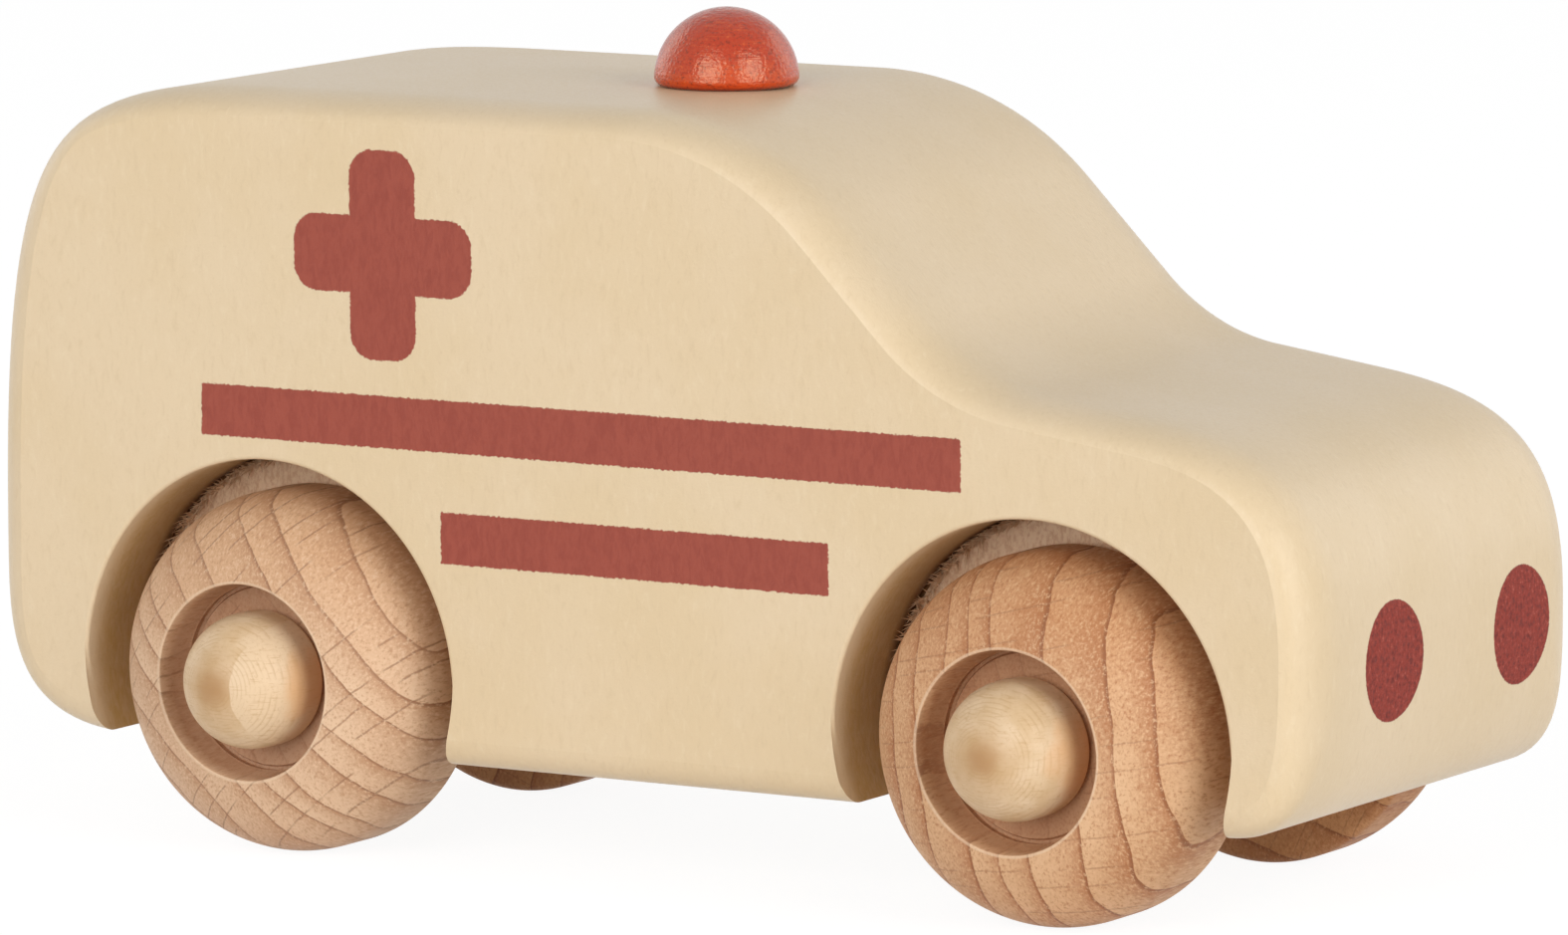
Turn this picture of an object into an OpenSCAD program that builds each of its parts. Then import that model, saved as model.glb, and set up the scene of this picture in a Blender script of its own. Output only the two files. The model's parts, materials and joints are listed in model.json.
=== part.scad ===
// Wooden toy ambulance: a painted block body on four free-rolling bun wheels.
// Lengths are in millimetres. The nose points along +X, the car's left side is +Y
// and the wheels stand on Z = 0.

/* [Body] */
// Length of the body from tail to nose
body_length = 145.5; // [134:0.5:170]
// Width of the body block across its flat sides
body_width = 54.4; // [50:0.2:66]
// Height of the flat roof above the ground
roof_height = 73.6; // [66:0.2:84]
// Height of the flat underside above the ground
underside_height = 10.3; // [8:0.1:13]
// Radius of the rolled edge round the roof, windscreen, nose and tail
edge_radius = 5.2; // [3:0.1:7]
// Radius of the rolled edge along the underside
bottom_edge_radius = 2.7; // [1.5:0.1:4]

/* [Side outline] */
// Distance from the nose back to where the windscreen line meets the roof
windscreen_setback = 61; // [56:0.2:68]
// Slope of the windscreen from level, in degrees
windscreen_slope = 45.2; // [38:0.2:52]
// Radius of the bend from roof to windscreen
roof_bend_radius = 31; // [18:1:36]
// Radius of the hollow bend from windscreen to hood
cowl_bend_radius = 21.5; // [10:0.5:28]
// Slope of the hood from level, in degrees
hood_slope = 8; // [4:0.1:12]
// Height at which the hood line meets the nose
hood_nose_height = 45; // [40:0.2:50]
// Length of the bend from hood to nose
nose_bend_length = 19; // [12:0.2:24]
// Height of the foremost point of the nose
nose_waist_height = 26.5; // [22:0.5:32]
// Length of the bend from nose to underside
chin_bend_length = 9.5; // [6:0.1:14]
// Length of the bend from roof to tail
tail_bend_length = 33; // [22:0.2:40]
// Height of the rearmost point of the tail
tail_waist_height = 30; // [25:0.5:40]
// Length of the bend from tail to underside
tail_foot_length = 16; // [7:0.2:20]
// How long the roof runs on before it bends to the tail, 1 being a sharp corner
tail_roof_fullness = 0.79; // [0.5:0.01:0.95]
// How high the tail runs up before it bends to the roof
tail_back_fullness = 0.95; // [0.5:0.01:0.97]
// How squarely the hood turns into the nose
nose_fullness = 0.74; // [0.5:0.01:0.9]
// How squarely nose and tail turn into the underside
foot_fullness = 0.72; // [0.5:0.01:0.9]

/* [Wheels] */
// Diameter of the wheels
wheel_diameter = 35; // [31:0.5:38]
// Width of the wheels from the back face to the rim
wheel_width = 15.2; // [12:0.2:17]
// Radius of the round shoulder from rim to tread
wheel_shoulder_radius = 10; // [6:0.2:11]
// Radius of the eased edge behind the tread
wheel_back_ease = 1; // [0.4:0.1:2]
// How far the rims stand out from the body's sides
wheel_stand_out = 4.6; // [3:0.1:6]
// Diameter of the hub recess at its mouth
hub_recess_diameter = 19; // [17:0.2:22]
// Diameter of the hub recess at its floor
hub_floor_diameter = 18.2; // [16:0.2:21]
// Depth of the hub recess below the rim
hub_recess_depth = 5.2; // [3.6:0.1:7]
// Distance from the nose back to the front axle
front_axle_setback = 28.95; // [26:0.05:32]
// Distance from the tail forward to the rear axle
rear_axle_setback = 32.65; // [29:0.05:36]
// Gap between the tread and the wheel arch
arch_gap = 3.4; // [2:0.1:4]
// Width of the eased edge round the wheel arches
arch_ease = 0.4; // [0.3:0.1:0.7]

/* [Axle pegs] */
// Diameter of the peg shank
peg_diameter = 7; // [5:0.1:9]
// Diameter of the domed peg head
peg_head_diameter = 13.1; // [11:0.1:15]
// Length of the straight skirt behind the dome of the peg head
peg_skirt_length = 2.8; // [1.5:0.1:4]
// Radius of the eased edge behind the skirt
peg_skirt_ease = 0.8; // [0.3:0.1:1.2]
// Length of shank that is glued into the body
peg_seat_length = 12; // [8:0.5:13]
// Chamfer at the end of the shank
peg_chamfer = 0.8; // [0.4:0.1:1.4]

/* [Beacon] */
// Diameter of the beacon's dome
beacon_diameter = 13.9; // [10:0.1:18]
// Height of the beacon above the roof
beacon_height = 7.5; // [6:0.1:12]
// Radius of the rounded edge where the beacon meets the roof
beacon_base_radius = 1.4; // [0.6:0.1:2.4]
// Distance from the nose back to the middle of the beacon
beacon_setback = 77.6; // [74:0.2:90]
// Diameter of the tenon under the beacon
tenon_diameter = 6; // [4:0.1:8]
// Length of the tenon under the beacon
tenon_length = 8; // [5:0.5:12]

/* [Fits] */
// Gap all round between a peg shank and the bore of its wheel
running_clearance = 0.05; // [0.02:0.01:0.1]
// Room in front of and behind each wheel along its peg
side_play = 0.35; // [0.3:0.05:1]
// Gap all round for the glue on a shank or tenon
glue_gap = 0.03; // [0.01:0.01:0.08]
// Room for spare glue at the end of a blind hole
glue_pocket = 1; // [0.5:0.1:2]

/* [Hidden] */

$fn = 96;

// Turns of a piece about the length of the car, so that its own +Z points outwards
RIGHT = 90;
LEFT = -90;

// Steps in each kind of bend, and in the quarter round of a rolled edge
bend_steps = 14;
foot_steps = 8;
roll_steps = 6;
// How far a cutting tool reaches past the face that it cuts
over = 1;

half_width = body_width / 2;
nose_x = body_length / 2;
tail_x = -body_length / 2;
front_axle_x = nose_x - front_axle_setback;
rear_axle_x = tail_x + rear_axle_setback;
wheel_radius = wheel_diameter / 2;
axle_height = wheel_radius;
arch_radius = wheel_radius + arch_gap;
wheel_bore_radius = peg_diameter / 2 + running_clearance;

// Distances from the middle plane of the car
rim_y = half_width + wheel_stand_out;
wheel_back_y = rim_y - wheel_width;
well_floor_y = wheel_back_y - side_play;
recess_floor_y = rim_y - hub_recess_depth;
head_back_y = recess_floor_y + side_play;
peg_end_y = well_floor_y - peg_seat_length;
shank_length = head_back_y - peg_end_y;

beacon_x = nose_x - beacon_setback;
beacon_radius = beacon_diameter / 2;

// Corner points of the side outline, before the bends are put in
windscreen_top = [nose_x - windscreen_setback, roof_height];
hood_nose = [nose_x, hood_nose_height];
cowl = meet(windscreen_top, -windscreen_slope, hood_nose, -hood_slope);

// Point at a distance and a direction from level
function reach(from, angle, length) = from + length * [cos(angle), sin(angle)];

// Point where two lines cross, each given by a point and a direction from level
function meet(p, a, q, b) = reach(p, a, ((q.x - p.x) * sin(b) - (q.y - p.y) * cos(b)) / sin(b - a));

function arc(centre, radius, from, to, steps) =
    [for (i = [0:steps]) reach(centre, from + (to - from) * i / steps, radius)];

// Cubic bend from start to end, pulled towards the corner between them from either end
function bend(start, corner, end, start_fullness, end_fullness, steps) =
    let (
        a = start + start_fullness * (corner - start),
        b = end + end_fullness * (corner - end)
    )
    [for (i = [0:steps])
        let (t = i / steps, u = 1 - t)
        u * u * u * start + 3 * u * u * t * a + 3 * u * t * t * b + t * t * t * end];

// Stretches of the side outline, running from the underside round the nose to the tail
chin = bend([nose_x - chin_bend_length, underside_height], [nose_x, underside_height],
    [nose_x, nose_waist_height], foot_fullness, foot_fullness, foot_steps);
nose = bend([nose_x, nose_waist_height], hood_nose,
    reach(hood_nose, 180 - hood_slope, nose_bend_length / cos(hood_slope)),
    nose_fullness, nose_fullness, bend_steps);
cowl_tangent = cowl_bend_radius * tan((windscreen_slope - hood_slope) / 2);
cowl_centre = reach(reach(cowl, -hood_slope, cowl_tangent), 90 - hood_slope, cowl_bend_radius);
cowl_bend = arc(cowl_centre, cowl_bend_radius, 270 - hood_slope, 270 - windscreen_slope, bend_steps);
roof_tangent = roof_bend_radius * tan(windscreen_slope / 2);
roof_centre = windscreen_top - [roof_tangent, roof_bend_radius];
roof_bend = arc(roof_centre, roof_bend_radius, 90 - windscreen_slope, 90, bend_steps);
tail = bend([tail_x + tail_bend_length, roof_height], [tail_x, roof_height],
    [tail_x, tail_waist_height], tail_roof_fullness, tail_back_fullness, bend_steps);
tail_foot = bend([tail_x, tail_waist_height], [tail_x, underside_height],
    [tail_x + tail_foot_length, underside_height], foot_fullness, foot_fullness, foot_steps);

// Each stretch leaves out the point that it shares with the one before
function after_first(points) = [for (i = [1:len(points) - 1]) points[i]];
outline = concat(chin, after_first(nose), cowl_bend, roof_bend, tail,
    after_first(tail_foot));
outline_size = len(outline);

// Share of the large edge radius: none on the underside, all of it from the waist up
function rise(p, waist) = min(1, max(0, (p.y - underside_height) / (waist - underside_height)));
function edge_share(p) = let (s = rise(p, p.x > 0 ? nose_waist_height : tail_waist_height)) s * s * (3 - 2 * s);
function roll_radius(p) = bottom_edge_radius + (edge_radius - bottom_edge_radius) * edge_share(p);

// Direction square to the outline at a point, into the body
function inward(i) =
    let (
        step = outline[(i + 1) % outline_size] - outline[(i + outline_size - 1) % outline_size],
        along = step / norm(step)
    )
    [-along.y, along.x];

// Outline at one step of the rolled edge on one side of the car
function roll_ring(side, angle) =
    [for (i = [0:outline_size - 1])
        let (
            radius = roll_radius(outline[i]),
            p = outline[i] + radius * (1 - cos(angle)) * inward(i)
        )
        [p.x, side * (half_width - radius * (1 - sin(angle))), p.y]];

// Rings from the right side across to the left side
roll_angles = [for (k = [0:roll_steps]) 90 * k / roll_steps];
rings = concat(
    [for (k = [roll_steps:-1:0]) roll_ring(-1, roll_angles[k])],
    [for (angle = roll_angles) roll_ring(1, angle)]
);
last_ring = len(rings) - 1;

function corner_index(ring, i) = ring * outline_size + i % outline_size;

// Solid block with rolled edges, before anything is cut into it
module block() {
    polyhedron(
        points = [for (ring = rings) each ring],
        faces = concat(
            [[for (i = [outline_size - 1:-1:0]) corner_index(0, i)]],
            [for (r = [0:last_ring - 1], i = [0:outline_size - 1])
                [corner_index(r, i), corner_index(r, i + 1), corner_index(r + 1, i + 1)]],
            [for (r = [0:last_ring - 1], i = [0:outline_size - 1])
                [corner_index(r, i), corner_index(r + 1, i + 1), corner_index(r + 1, i)]],
            [[for (i = [0:outline_size - 1]) corner_index(last_ring, i)]]
        )
    );
}

// Puts a piece on an axle, with its own +Z pointing outwards from the middle of the car
module on_axle(axle_x, turn) {
    translate([axle_x, 0, axle_height])
        rotate([turn, 0, 0])
            children();
}

// Blind well for one wheel, with its eased edge and the hole for its peg
module wheel_well() {
    translate([0, 0, well_floor_y])
        cylinder(h = half_width + over - well_floor_y, r = arch_radius);
    translate([0, 0, half_width - arch_ease])
        cylinder(h = arch_ease + over, r1 = arch_radius, r2 = arch_radius + arch_ease + over);
    translate([0, 0, peg_end_y - glue_pocket])
        cylinder(h = well_floor_y - peg_end_y + glue_pocket + over, d = peg_diameter + 2 * glue_gap);
}

module body() {
    color([0.90, 0.82, 0.67])
        difference() {
            block();
            for (axle_x = [front_axle_x, rear_axle_x], turn = [RIGHT, LEFT])
                on_axle(axle_x, turn)
                    wheel_well();
            translate([beacon_x, 0, roof_height - tenon_length - glue_pocket])
                cylinder(h = tenon_length + glue_pocket + over, d = tenon_diameter + 2 * glue_gap);
        }
}

// Half section of the beacon: a dome on a base with a rounded edge
module beacon_section() {
    round_x = beacon_radius - beacon_base_radius;
    intersection() {
        translate([0, beacon_height - beacon_radius]) circle(beacon_radius);
        union() {
            translate([0, beacon_base_radius]) square([beacon_radius, beacon_height]);
            square([round_x, beacon_base_radius]);
            translate([round_x, beacon_base_radius]) circle(beacon_base_radius);
        }
        square([beacon_diameter, beacon_height]);
    }
}

module beacon() {
    color([0.75, 0.29, 0.18])
        translate([beacon_x, 0, roof_height]) {
            rotate_extrude() beacon_section();
            translate([0, 0, -tenon_length])
                cylinder(h = tenon_length + beacon_base_radius, d = tenon_diameter);
        }
}

// Outside corner of a half section, to be cut off so that a round of this radius is left
module corner_waste(radius) {
    difference() {
        square(radius + over);
        circle(radius);
    }
}

// Half section of a wheel, with the rim at zero and the tread behind it
module wheel_section() {
    difference() {
        translate([wheel_bore_radius, -wheel_width])
            square([wheel_radius - wheel_bore_radius, wheel_width]);
        translate([wheel_radius - wheel_shoulder_radius, -wheel_shoulder_radius])
            corner_waste(wheel_shoulder_radius);
        translate([wheel_radius - wheel_back_ease, wheel_back_ease - wheel_width])
            mirror([0, 1])
                corner_waste(wheel_back_ease);
        polygon([
            [0, -hub_recess_depth],
            [hub_floor_diameter / 2, -hub_recess_depth],
            [hub_recess_diameter / 2, 0],
            [hub_recess_diameter / 2, over],
            [0, over]
        ]);
    }
}

module wheel(axle_x, turn) {
    color([0.82, 0.65, 0.49])
        on_axle(axle_x, turn)
            translate([0, 0, rim_y])
                rotate_extrude()
                    wheel_section();
}

// Half section of a peg, with the back of its head at zero
module peg_section() {
    head_radius = peg_head_diameter / 2;
    difference() {
        square([head_radius, peg_skirt_length]);
        translate([head_radius - peg_skirt_ease, peg_skirt_ease])
            mirror([0, 1])
                corner_waste(peg_skirt_ease);
    }
    intersection() {
        translate([0, peg_skirt_length]) circle(head_radius);
        translate([0, peg_skirt_length]) square(head_radius);
    }
    polygon([
        [0, -shank_length],
        [peg_diameter / 2 - peg_chamfer, -shank_length],
        [peg_diameter / 2, peg_chamfer - shank_length],
        [peg_diameter / 2, peg_skirt_ease],
        [0, peg_skirt_ease]
    ]);
}

module axle_peg(axle_x, turn) {
    color([0.88, 0.79, 0.62])
        on_axle(axle_x, turn)
            translate([0, 0, head_back_y])
                rotate_extrude()
                    peg_section();
}

body();
beacon();
wheel(front_axle_x, RIGHT);  // wheel_front_right
wheel(front_axle_x, LEFT);  // wheel_front_left
wheel(rear_axle_x, RIGHT);  // wheel_rear_right
wheel(rear_axle_x, LEFT);  // wheel_rear_left
axle_peg(front_axle_x, RIGHT);  // axle_peg_front_right
axle_peg(front_axle_x, LEFT);  // axle_peg_front_left
axle_peg(rear_axle_x, RIGHT);  // axle_peg_rear_right
axle_peg(rear_axle_x, LEFT);  // axle_peg_rear_left
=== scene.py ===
import json
import math
import random

import bmesh
import bpy
from mathutils import Matrix, Vector


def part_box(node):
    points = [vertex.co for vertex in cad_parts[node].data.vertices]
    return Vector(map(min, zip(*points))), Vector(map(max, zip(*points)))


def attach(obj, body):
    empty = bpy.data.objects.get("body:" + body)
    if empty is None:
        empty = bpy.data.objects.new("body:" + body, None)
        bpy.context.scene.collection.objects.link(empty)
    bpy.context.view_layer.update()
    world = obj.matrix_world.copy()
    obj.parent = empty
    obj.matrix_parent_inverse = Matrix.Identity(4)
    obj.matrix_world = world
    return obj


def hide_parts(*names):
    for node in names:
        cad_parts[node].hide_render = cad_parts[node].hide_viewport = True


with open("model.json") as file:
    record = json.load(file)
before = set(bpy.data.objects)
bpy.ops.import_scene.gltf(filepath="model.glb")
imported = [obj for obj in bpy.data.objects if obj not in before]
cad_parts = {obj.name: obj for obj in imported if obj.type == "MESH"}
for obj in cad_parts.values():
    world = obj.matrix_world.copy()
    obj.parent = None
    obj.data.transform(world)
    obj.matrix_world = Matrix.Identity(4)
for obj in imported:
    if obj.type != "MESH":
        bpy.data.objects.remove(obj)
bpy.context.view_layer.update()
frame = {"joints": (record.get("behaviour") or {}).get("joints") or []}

# Looks of a wooden toy ambulance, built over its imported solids.
# Lengths are in millimetres in the row frame: +X to the nose, +Y to the car's left, +Z up.
# They are turned into metres once, where a mesh or a lamp is made.
MM = 0.001

# Width of the picture that the camera is set for, in pixels
IMAGE_WIDTH = 1575


def box_mm(node):
    low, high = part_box(node)
    return low / MM, high / MM


body_low, body_high = box_mm("body")
wheel_low, wheel_high = box_mm("wheel_front_left")
peg_low, peg_high = box_mm("axle_peg_front_left")
beacon_low, beacon_high = box_mm("beacon")
axles = {joint["child"]: Vector(joint["pos_m"]) / MM for joint in frame["joints"]}
# Rear and front axle in the side view
wheel_axles = [Vector((axles[wheel].x, axles[wheel].z)) for wheel in ("wheel_rear_left", "wheel_front_left")]

# Body, from the frame
nose_x = body_high.x
tail_x = body_low.x
half_width = body_high.y
roof_height = body_high.z
underside_height = body_low.z

# Side outline of the body
windscreen_setback = 61
windscreen_slope = 45.2
roof_bend_radius = 31
cowl_bend_radius = 21.5
hood_slope = 8
hood_nose_height = 45
nose_bend_length = 19
nose_waist_height = 26.5
chin_bend_length = 9.5
tail_bend_length = 33
tail_waist_height = 30
tail_foot_length = 16
tail_roof_fullness = 0.79
tail_back_fullness = 0.95
nose_fullness = 0.74
foot_fullness = 0.72

# Rolled edges of the body: round the top and along the underside
edge_roll_in = 2.5
edge_roll_deep = 6.4
bottom_roll = 2.7
# The roll is wider on nose and tail, and widens over this length before them
nose_roll_in = 3.0
tail_roll_in = 4.2
end_roll_run = 12
# The roll stops a little before it is level with the side face and leaves a faint crease there, in degrees
roll_end = 84
# Flat margin between the end of a roll and the plain side face
side_margin = 0.3

# Wheels and their wells
wheel_radius = axles["wheel_front_left"].z
wheel_back = wheel_low.y
wheel_crest = wheel_high.y
side_play = 0.35
well_floor = wheel_back - side_play
arch_gap = 3.4
arch_radius = wheel_radius + arch_gap
arch_ease = 0.4
# Length over which the roll on the underside runs out into the eased edge of an arch
ease_run = 9
# Groove that the cutter left round the floor of a well: how far it goes in, and how high up the wall
well_groove = 0.4
well_groove_height = 0.9
# Torn wood fibres round the floor of a well. The ranges are the distance of a root from the wall, the lift
# over the floor in radians and the length.
FIBRES = 800
FIBRE_SEED = 5
fibre_radius = 0.15
fibre_root = (0.1, 0.7)
fibre_lift = (0.6, 1.4)
fibre_length = (1.0, 2.8)
# How far the fibres keep from the ends of an arch, in degrees, and their tips from the wall
fibre_end_margin = 2
fibre_tip_gap = 0.1
# How far the foot of a fibre sinks into the floor, and the turn between two of its three corners in radians
fibre_sink = 0.02
fibre_corner = 2.1
# Round shoulder of the tread. Its circle would crest just beyond the wheel, where the recess cuts it.
wheel_shoulder = 10
shoulder_rise = 0.2
wheel_back_ease = 1
# Hub recess with a worn lip, and the steps that the cutter left at the foot of its wall: distance from the
# floor's radius, and height over the floor
recess_mouth_radius = 9.5
recess_floor_radius = 9.1
recess_depth = 5.0
recess_lip = 0.16
recess_lip_inset = 0.05
recess_lip_turn = (60, 178)
recess_wall_step = (-0.1, 3.2)
recess_foot_steps = (
    (0.08, 0.75), (-0.06, 0.55), (0.02, 0.38), (-0.02, -0.18),
    (-0.3, -0.22), (-0.5, 0.1), (-0.8, 0.04), (-1.6, 0.0),
)
bore_radius = 3.55
bore_back_ease = 0.4
bore_front_ease = 0.3

# Axle pegs
peg_tip = peg_high.y
peg_end = peg_low.y
peg_radius = 3.5
peg_hole_radius = 3.53
peg_head_radius = (peg_high.x - peg_low.x) / 2
peg_head_back = wheel_crest - recess_depth + side_play
peg_skirt_ease = 0.8
peg_neck_ease = 0.2
peg_chamfer = 0.8
glue_pocket = 1

# Beacon
beacon_x = (beacon_low.x + beacon_high.x) / 2
beacon_radius = 6.95
beacon_base_round = 0.9
tenon_radius = 3
tenon_hole_radius = 3.03
tenon_end = beacon_low.z

# Steps in the meshes
BEND_STEPS = 36
FOOT_STEPS = 14
LOWER_STEPS = 26
ARCH_STEPS = 84
ROLL_STEPS = 10
LATHE_STEPS = 192
HOLE_STEPS = 48
DENSE_STEPS = 2400
DOME_STEPS = 40
EASE_STEPS = 8
LIP_STEPS = 6
BASE_STEPS = 14
# Height in degrees of the first ring below the tip of a dome
DOME_START = 88
# Edges that bend by more than this many degrees stay sharp
SHARP_ANGLE = 40
# Extra points near the edges of flat turned faces, which keep their shading even
wheel_back_support = 3
tread_support = 2.4
peg_skirt_support = 1.8


# Plane geometry of the side view, with points as (length, height)

def reach(start, angle, length):
    """Point at a distance and a direction from level, in degrees."""
    turn = math.radians(angle)
    return start + length * Vector((math.cos(turn), math.sin(turn)))


def meet(p, a, q, b):
    """Point where two lines cross, each given by a point and a direction from level."""
    a_turn = math.radians(a)
    b_turn = math.radians(b)
    across = (q.x - p.x) * math.sin(b_turn) - (q.y - p.y) * math.cos(b_turn)
    return reach(p, a, across / math.sin(b_turn - a_turn))


def left_of(direction):
    return Vector((-direction.y, direction.x))


def smooth(value):
    """Smooth step from 0 to 1."""
    share = min(1, max(0, value))
    return share * share * (3 - 2 * share)


# A stretch is a list of points, each with the direction into the body, which is on its left

def straight(start, end, steps):
    inward = left_of((end - start).normalized())
    return [(start.lerp(end, i / steps), inward) for i in range(steps + 1)]


def arc(centre, radius, first, last, steps):
    side = math.copysign(1, last - first)
    stretch = []
    for i in range(steps + 1):
        out = reach(Vector((0, 0)), first + (last - first) * i / steps, 1)
        stretch.append((centre + radius * out, -side * out))
    return stretch


def bend(start, corner, end, start_fullness, end_fullness, steps):
    """Cubic bend, pulled towards the corner from either end."""
    a = start.lerp(corner, start_fullness)
    b = end.lerp(corner, end_fullness)
    stretch = []
    for i in range(steps + 1):
        t = i / steps
        u = 1 - t
        point = u ** 3 * start + 3 * u * u * t * a + 3 * u * t * t * b + t ** 3 * end
        run = u * u * (a - start) + 2 * u * t * (b - a) + t * t * (end - b)
        stretch.append((point, left_of(run.normalized())))
    return stretch


def chained(*stretches):
    """Stretches in a row, without the points that two of them share."""
    chain = list(stretches[0])
    for stretch in stretches[1:]:
        chain += stretch[1:]
    return chain


def evenly(path, steps):
    """Points of a dense path at even distances along it."""
    lengths = [0]
    for (p, _), (q, _) in zip(path, path[1:]):
        lengths.append(lengths[-1] + (q - p).length)
    picked = []
    k = 0
    for i in range(steps + 1):
        goal = lengths[-1] * i / steps
        while k < len(path) - 1 and lengths[k] < goal:
            k += 1
        picked.append(path[k])
    return picked


def upper_path():
    """Outline from the nose over hood and roof to the tail, and where the beacon's cell starts."""
    waist = Vector((nose_x, nose_waist_height))
    hood_nose = Vector((nose_x, hood_nose_height))
    screen_top = Vector((nose_x - windscreen_setback, roof_height))
    cowl = meet(screen_top, -windscreen_slope, hood_nose, -hood_slope)
    hood_front = reach(hood_nose, 180 - hood_slope, nose_bend_length / math.cos(math.radians(hood_slope)))
    cowl_tangent = cowl_bend_radius * math.tan(math.radians((windscreen_slope - hood_slope) / 2))
    cowl_centre = reach(reach(cowl, -hood_slope, cowl_tangent), 90 - hood_slope, cowl_bend_radius)
    roof_tangent = roof_bend_radius * math.tan(math.radians(windscreen_slope / 2))
    roof_centre = screen_top - Vector((roof_tangent, roof_bend_radius))

    nose = bend(waist, hood_nose, hood_front, nose_fullness, nose_fullness, BEND_STEPS)
    cowl_bend = arc(cowl_centre, cowl_bend_radius, 270 - hood_slope, 270 - windscreen_slope, BEND_STEPS)
    roof_bend = arc(roof_centre, roof_bend_radius, 90 - windscreen_slope, 90, BEND_STEPS)
    tail_start = Vector((tail_x + tail_bend_length, roof_height))
    tail = bend(tail_start, Vector((tail_x, roof_height)), Vector((tail_x, tail_waist_height)),
                tail_roof_fullness, tail_back_fullness, BEND_STEPS)
    roof_front = roof_bend[-1][0]
    cell_end = Vector((2 * beacon_x - roof_front.x, roof_height))

    to_roof = chained(
        nose,
        straight(nose[-1][0], cowl_bend[0][0], FOOT_STEPS),
        cowl_bend,
        straight(cowl_bend[-1][0], roof_bend[0][0], FOOT_STEPS),
        roof_bend,
    )
    path = chained(
        to_roof,
        straight(roof_front, cell_end, 1),
        straight(cell_end, tail_start, FOOT_STEPS),
        tail,
    )
    return path, len(to_roof) - 1


def lower_path():
    """Outline from the tail under the car to the nose, as if no arch were cut, in close steps."""
    foot_end = Vector((tail_x + tail_foot_length, underside_height))
    chin_start = Vector((nose_x - chin_bend_length, underside_height))
    foot = bend(Vector((tail_x, tail_waist_height)), Vector((tail_x, underside_height)), foot_end,
                foot_fullness, foot_fullness, DENSE_STEPS)
    chin = bend(chin_start, Vector((nose_x, underside_height)), Vector((nose_x, nose_waist_height)),
                foot_fullness, foot_fullness, DENSE_STEPS)
    return chained(foot, straight(foot_end, chin_start, DENSE_STEPS), chin)


def heading(vector):
    return math.degrees(math.atan2(vector.y, vector.x))


def roll_growth(point):
    """How far the rolled edge has grown on the way from the underside up to the waist, from 0 to 1."""
    waist = nose_waist_height if point.x > 0 else tail_waist_height
    return smooth((point.y - underside_height) / (waist - underside_height))


def roll_in(point):
    """Width of the rolled edge on the side face, at a point of the outline."""
    on_nose = smooth((point.x - nose_x) / end_roll_run + 1)
    on_tail = smooth((tail_x - point.x) / end_roll_run + 1)
    width = edge_roll_in + (nose_roll_in - edge_roll_in) * on_nose + (tail_roll_in - edge_roll_in) * on_tail
    return bottom_roll + (width - bottom_roll) * roll_growth(point)


def roll_deep(point):
    """Depth of the rolled edge from the side face, at a point of the outline."""
    return bottom_roll + (edge_roll_deep - bottom_roll) * roll_growth(point)


def roll_shares(step):
    """Shares of the roll by which one of its steps lies in from the outline and short of the side face."""
    end = math.radians(roll_end)
    angle = end * step / ROLL_STEPS
    return (1 - math.cos(angle)) / (1 - math.cos(end)), 1 - math.sin(angle) / math.sin(end)


class BodyRing:
    """Closed ring round the body, as points (x, distance from the middle, z), with its wheel arches.

    into and short are the ring's shares of the roll, extra moves it further in, and grow widens its arches.
    A depth puts all of the ring at one distance from the middle.
    """

    def __init__(self, upper, lower, into, short, extra=0.0, grow=0.0, depth=None):
        self.into = into
        self.short = short
        self.extra = extra
        self.radius = arch_radius + extra + grow
        self.depth = depth
        self.arches = []
        self.points = []
        self.add_stretch(upper)
        done = 0
        for axle in wheel_axles:
            first, last = self.crossings(lower, axle)
            stretch = evenly(lower[done:first + 1], LOWER_STEPS)
            # The upper path has the first point of the lower one already
            self.add_stretch(stretch if done else stretch[1:])
            self.add_arch(lower, first, last, axle)
            done = last
        self.add_stretch(evenly(lower[done:], LOWER_STEPS)[:-1])

    def add_stretch(self, stretch):
        self.points += [self.placed(*entry) for entry in stretch]

    def moved(self, point, inward):
        return point + (self.into * roll_in(point) + self.extra) * inward

    def out(self, roll):
        return half_width - self.short * roll if self.depth is None else self.depth

    def placed(self, point, inward):
        p = self.moved(point, inward)
        return p.x, self.out(roll_deep(point)), p.y

    def crossings(self, lower, axle):
        """First and last places where the lower path is inside the well."""
        inside = [i for i, entry in enumerate(lower) if (self.moved(*entry) - axle).length < self.radius]
        return inside[0], inside[-1]

    def add_arch(self, lower, first, last, axle):
        start = heading(self.moved(*lower[first]) - axle) % 360
        end = heading(self.moved(*lower[last]) - axle)
        self.arches.append((len(self.points) - 1, axle, start, end, lower[first:last + 1]))
        for i in range(1, ARCH_STEPS):
            angle = start + (end - start) * i / ARCH_STEPS
            nearest = min(start - angle, angle - end)
            roll = roll_deep(lower[first if start - angle < angle - end else last][0])
            share = smooth(math.radians(nearest) * arch_radius / ease_run)
            p = reach(axle, angle, self.radius + self.into * arch_ease * share)
            self.points.append((p.x, self.out(roll + (arch_ease - roll) * share), p.y))


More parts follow.
